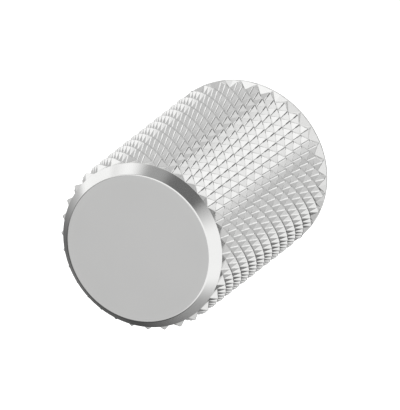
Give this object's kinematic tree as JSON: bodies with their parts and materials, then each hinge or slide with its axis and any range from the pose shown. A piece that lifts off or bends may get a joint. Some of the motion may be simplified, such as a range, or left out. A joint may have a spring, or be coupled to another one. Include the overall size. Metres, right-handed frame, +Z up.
{
  "type": "cabinet knob",
  "caption": "Knurled cylindrical pull knob turned from one piece of metal, screwed to a cabinet door or drawer front from behind.",
  "frame": {"origin": "middle of the back face, at the mouth of the screw hole", "axes": "+Y along the screw hole, out of the back face and into the door; the front face looks along -Y; +Z up as mounted"},
  "size_m": [0.02, 0.0294, 0.02],
  "materials": {
    "knob_metal": "turned and polished, satin front face"
  },
  "bodies": {
    "root": {"knob": "knob_metal"}
  },
  "joints": []
}
